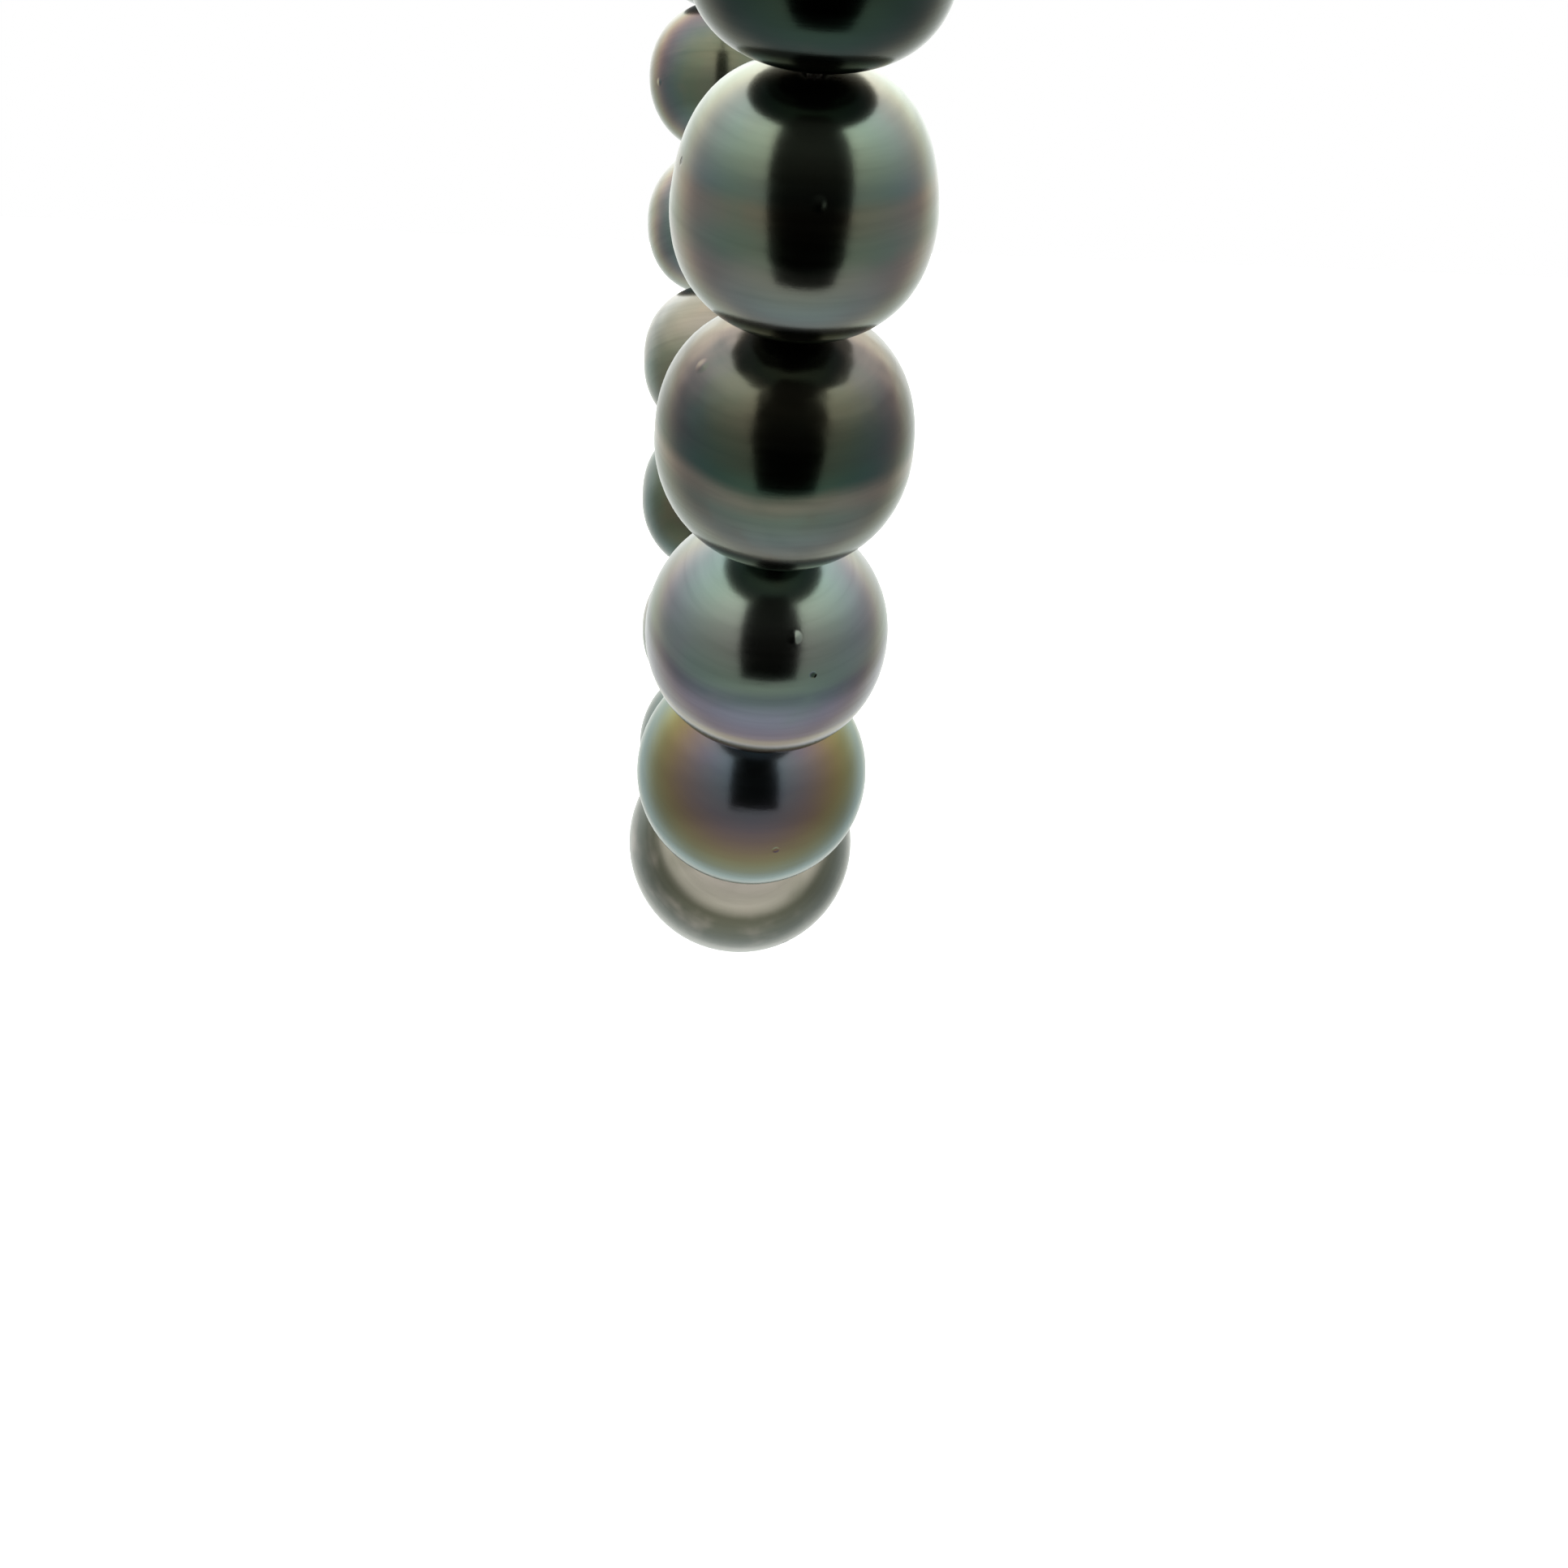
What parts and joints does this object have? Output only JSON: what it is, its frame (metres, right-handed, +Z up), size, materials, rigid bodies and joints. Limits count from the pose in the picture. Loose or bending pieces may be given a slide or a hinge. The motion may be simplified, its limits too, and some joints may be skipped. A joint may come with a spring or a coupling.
{
  "type": "pearl necklace",
  "caption": "Hanging strand of dark cultured pearls on silk, drilled and strung close together, closed by a small gold trigger clasp that opens to let the strand unfold.",
  "frame": {"origin": "axis of the round form that the strand hangs over, halfway through the width of the strand", "axes": "+Z up, the loop lies in the Y-Z plane with the arm nearest the viewer on -Y, +X to the right"},
  "size_m": [0.011, 0.1195, 0.1793],
  "materials": {
    "pearl_green": "polished nacre, dark body colour with soft rainbow overtones",
    "pearl_silver": "polished nacre, dark body colour with soft rainbow overtones",
    "pearl_lilac": "polished nacre, dark body colour with soft rainbow overtones",
    "pearl_olive": "polished nacre, dark body colour with soft rainbow overtones",
    "pearl_taupe": "polished nacre, dark body colour with soft rainbow overtones",
    "silk": "twisted silk",
    "gold_wire": "fine coiled wire",
    "gold": "polished gold",
    "spring_steel": "satin"
  },
  "bodies": {
    "lower_strand": {"pearl_14": "pearl_green", "pearl_15": "pearl_lilac", "pearl_16": "pearl_green", "pearl_17": "pearl_silver", "pearl_18": "pearl_olive", "pearl_19": "pearl_lilac", "pearl_20": "pearl_green", "pearl_21": "pearl_taupe", "pearl_22": "pearl_silver", "pearl_23": "pearl_green", "pearl_24": "pearl_taupe", "pearl_25": "pearl_green", "pearl_26": "pearl_taupe", "pearl_27": "pearl_silver", "pearl_28": "pearl_olive", "pearl_29": "pearl_lilac", "pearl_30": "pearl_silver", "silk_cord": "silk"},
    "front_bead_13": {"pearl_13": "pearl_green"},
    "front_bead_12": {"pearl_12": "pearl_silver"},
    "front_bead_11": {"pearl_11": "pearl_taupe"},
    "front_bead_10": {"pearl_10": "pearl_olive"},
    "front_bead_09": {"pearl_09": "pearl_silver"},
    "front_bead_08": {"pearl_08": "pearl_lilac"},
    "front_bead_07": {"pearl_07": "pearl_green"},
    "front_bead_06": {"pearl_06": "pearl_green"},
    "front_bead_05": {"pearl_05": "pearl_silver"},
    "front_bead_04": {"pearl_04": "pearl_taupe"},
    "front_bead_03": {"pearl_03": "pearl_olive"},
    "front_bead_02": {"pearl_02": "pearl_silver"},
    "front_bead_01": {"pearl_01": "pearl_lilac", "front_wire_sleeve": "gold_wire"},
    "back_bead_31": {"pearl_31": "pearl_olive"},
    "back_bead_32": {"pearl_32": "pearl_taupe"},
    "back_bead_33": {"pearl_33": "pearl_silver"},
    "back_bead_34": {"pearl_34": "pearl_green"},
    "back_bead_35": {"pearl_35": "pearl_green"},
    "back_bead_36": {"pearl_36": "pearl_lilac"},
    "back_bead_37": {"pearl_37": "pearl_silver"},
    "back_bead_38": {"pearl_38": "pearl_olive"},
    "back_bead_39": {"pearl_39": "pearl_taupe"},
    "back_bead_40": {"pearl_40": "pearl_silver"},
    "back_bead_41": {"pearl_41": "pearl_green"},
    "back_bead_42": {"pearl_42": "pearl_green"},
    "back_bead_43": {"pearl_43": "pearl_lilac", "back_wire_sleeve": "gold_wire"},
    "ring": {"clasp_ring": "gold"},
    "claw": {"clasp_claw": "gold", "lever_pin": "gold", "lever_spring": "spring_steel"},
    "lever": {"clasp_lever": "gold"}
  },
  "joints": [
    {"name": "front_bend_13", "type": "hinge", "parent": "lower_strand", "child": "front_bead_13", "pos_m": [0, -0.04638, -0.04726], "axis": [1, 0, 0], "range_deg": [0, 10], "stiffness_Nm_per_rad": 0.099, "springref_deg": 0.16, "deforming": ["silk_cord"]},
    {"name": "front_bend_12", "type": "hinge", "parent": "front_bead_13", "child": "front_bead_12", "pos_m": [0, -0.04865, -0.03783], "axis": [1, 0, 0], "range_deg": [0, 10], "stiffness_Nm_per_rad": 0.084, "springref_deg": 0.4},
    {"name": "front_bend_11", "type": "hinge", "parent": "front_bead_12", "child": "front_bead_11", "pos_m": [0, -0.05075, -0.02816], "axis": [1, 0, 0], "range_deg": [0, 10], "stiffness_Nm_per_rad": 0.069, "springref_deg": 0.72},
    {"name": "front_bend_10", "type": "hinge", "parent": "front_bead_11", "child": "front_bead_10", "pos_m": [0, -0.05262, -0.01874], "axis": [1, 0, 0], "range_deg": [0, 10], "stiffness_Nm_per_rad": 0.057, "springref_deg": 1.08},
    {"name": "front_bend_09", "type": "hinge", "parent": "front_bead_10", "child": "front_bead_09", "pos_m": [0, -0.05446, -0.00921], "axis": [1, 0, 0], "range_deg": [0, 10], "stiffness_Nm_per_rad": 0.046, "springref_deg": 1.58},
    {"name": "front_bend_08", "type": "hinge", "parent": "front_bead_09", "child": "front_bead_08", "pos_m": [0, -0.05532, 0.00026], "axis": [1, 0, 0], "range_deg": [0, 10], "stiffness_Nm_per_rad": 0.037, "springref_deg": 2.09},
    {"name": "front_bend_07", "type": "hinge", "parent": "front_bead_08", "child": "front_bead_07", "pos_m": [0, -0.05444, 0.00984], "axis": [1, 0, 0], "range_deg": [0, 10], "stiffness_Nm_per_rad": 0.028, "springref_deg": 2.61},
    {"name": "front_bend_06", "type": "hinge", "parent": "front_bead_07", "child": "front_bead_06", "pos_m": [0, -0.05191, 0.01913], "axis": [1, 0, 0], "range_deg": [0, 10], "stiffness_Nm_per_rad": 0.021, "springref_deg": 3},
    {"name": "front_bend_05", "type": "hinge", "parent": "front_bead_06", "child": "front_bead_05", "pos_m": [0, -0.04786, 0.02774], "axis": [1, 0, 0], "range_deg": [0, 10], "stiffness_Nm_per_rad": 0.014, "springref_deg": 3.54},
    {"name": "front_bend_04", "type": "hinge", "parent": "front_bead_05", "child": "front_bead_04", "pos_m": [0, -0.04245, 0.03546], "axis": [1, 0, 0], "range_deg": [0, 10], "stiffness_Nm_per_rad": 0.0092, "springref_deg": 3.8},
    {"name": "front_bend_03", "type": "hinge", "parent": "front_bead_04", "child": "front_bead_03", "pos_m": [0, -0.03582, 0.04215], "axis": [1, 0, 0], "range_deg": [0, 10], "stiffness_Nm_per_rad": 0.0051, "springref_deg": 4.14},
    {"name": "front_bend_02", "type": "hinge", "parent": "front_bead_03", "child": "front_bead_02", "pos_m": [0, -0.02823, 0.04756], "axis": [1, 0, 0], "range_deg": [0, 10], "stiffness_Nm_per_rad": 0.0023, "springref_deg": 4.32},
    {"name": "front_bend_01", "type": "hinge", "parent": "front_bead_02", "child": "front_bead_01", "pos_m": [0, -0.01984, 0.05163], "axis": [1, 0, 0], "range_deg": [0, 10], "stiffness_Nm_per_rad": 0.00056, "springref_deg": 4.58},
    {"name": "back_bend_31", "type": "hinge", "parent": "lower_strand", "child": "back_bead_31", "pos_m": [0, 0.0456, -0.05027], "axis": [-1, 0, 0], "range_deg": [0, 10], "stiffness_Nm_per_rad": 0.12, "springref_deg": 0.2},
    {"name": "back_bend_32", "type": "hinge", "parent": "back_bead_31", "child": "back_bead_32", "pos_m": [0, 0.04799, -0.04066], "axis": [-1, 0, 0], "range_deg": [0, 10], "stiffness_Nm_per_rad": 0.099, "springref_deg": 0.46},
    {"name": "back_bend_33", "type": "hinge", "parent": "back_bead_32", "child": "back_bead_33", "pos_m": [0, 0.05019, -0.0308], "axis": [-1, 0, 0], "range_deg": [0, 10], "stiffness_Nm_per_rad": 0.083, "springref_deg": 0.77},
    {"name": "back_bend_34", "type": "hinge", "parent": "back_bead_33", "child": "back_bead_34", "pos_m": [0, 0.05217, -0.0211], "axis": [-1, 0, 0], "range_deg": [0, 10], "stiffness_Nm_per_rad": 0.068, "springref_deg": 1.15},
    {"name": "back_bend_35", "type": "hinge", "parent": "back_bead_34", "child": "back_bead_35", "pos_m": [0, 0.05409, -0.01128], "axis": [-1, 0, 0], "range_deg": [0, 10], "stiffness_Nm_per_rad": 0.056, "springref_deg": 1.63},
    {"name": "back_bend_36", "type": "hinge", "parent": "back_bead_35", "child": "back_bead_36", "pos_m": [0, 0.05531, -0.00155], "axis": [-1, 0, 0], "range_deg": [0, 10], "stiffness_Nm_per_rad": 0.045, "springref_deg": 2.19},
    {"name": "back_bend_37", "type": "hinge", "parent": "back_bead_36", "child": "back_bead_37", "pos_m": [0, 0.05468, 0.00846], "axis": [-1, 0, 0], "range_deg": [0, 10], "stiffness_Nm_per_rad": 0.035, "springref_deg": 2.72},
    {"name": "back_bend_38", "type": "hinge", "parent": "back_bead_37", "child": "back_bead_38", "pos_m": [0, 0.05235, 0.0179], "axis": [-1, 0, 0], "range_deg": [0, 10], "stiffness_Nm_per_rad": 0.027, "springref_deg": 3.13},
    {"name": "back_bend_39", "type": "hinge", "parent": "back_bead_38", "child": "back_bead_39", "pos_m": [0, 0.04836, 0.02688], "axis": [-1, 0, 0], "range_deg": [0, 10], "stiffness_Nm_per_rad": 0.019, "springref_deg": 3.64},
    {"name": "back_bend_40", "type": "hinge", "parent": "back_bead_39", "child": "back_bead_40", "pos_m": [0, 0.04291, 0.03492], "axis": [-1, 0, 0], "range_deg": [0, 10], "stiffness_Nm_per_rad": 0.013, "springref_deg": 3.97},
    {"name": "back_bend_41", "type": "hinge", "parent": "back_bead_40", "child": "back_bead_41", "pos_m": [0, 0.0362, 0.04183], "axis": [-1, 0, 0], "range_deg": [0, 10], "stiffness_Nm_per_rad": 0.0081, "springref_deg": 4.27},
    {"name": "back_bend_42", "type": "hinge", "parent": "back_bead_41", "child": "back_bead_42", "pos_m": [0, 0.02849, 0.04741], "axis": [-1, 0, 0], "range_deg": [0, 10], "stiffness_Nm_per_rad": 0.0045, "springref_deg": 4.47},
    {"name": "back_bend_43", "type": "hinge", "parent": "back_bead_42", "child": "back_bead_43", "pos_m": [0, 0.02003, 0.05155], "axis": [-1, 0, 0], "range_deg": [0, 10], "stiffness_Nm_per_rad": 0.002, "springref_deg": 4.76},
    {"name": "ring_swing", "type": "hinge", "parent": "back_bead_43", "child": "ring", "pos_m": [0, 0.00747, 0.05468], "axis": [-1, 0, 0], "range_deg": [0, 30]},
    {"name": "claw_swing", "type": "hinge", "parent": "ring", "child": "claw", "pos_m": [0, 0.00407, 0.05468], "axis": [-1, 0, 0], "range_deg": [0, 40], "deforming": ["front_wire_sleeve"]},
    {"name": "lever_press", "type": "hinge", "parent": "claw", "child": "lever", "pos_m": [0, 0.00007, 0.05698], "axis": [1, 0, 0], "range_deg": [0, 35], "stiffness_Nm_per_rad": 0.0004, "springref_deg": -2.86, "deforming": ["lever_spring"]}
  ]
}
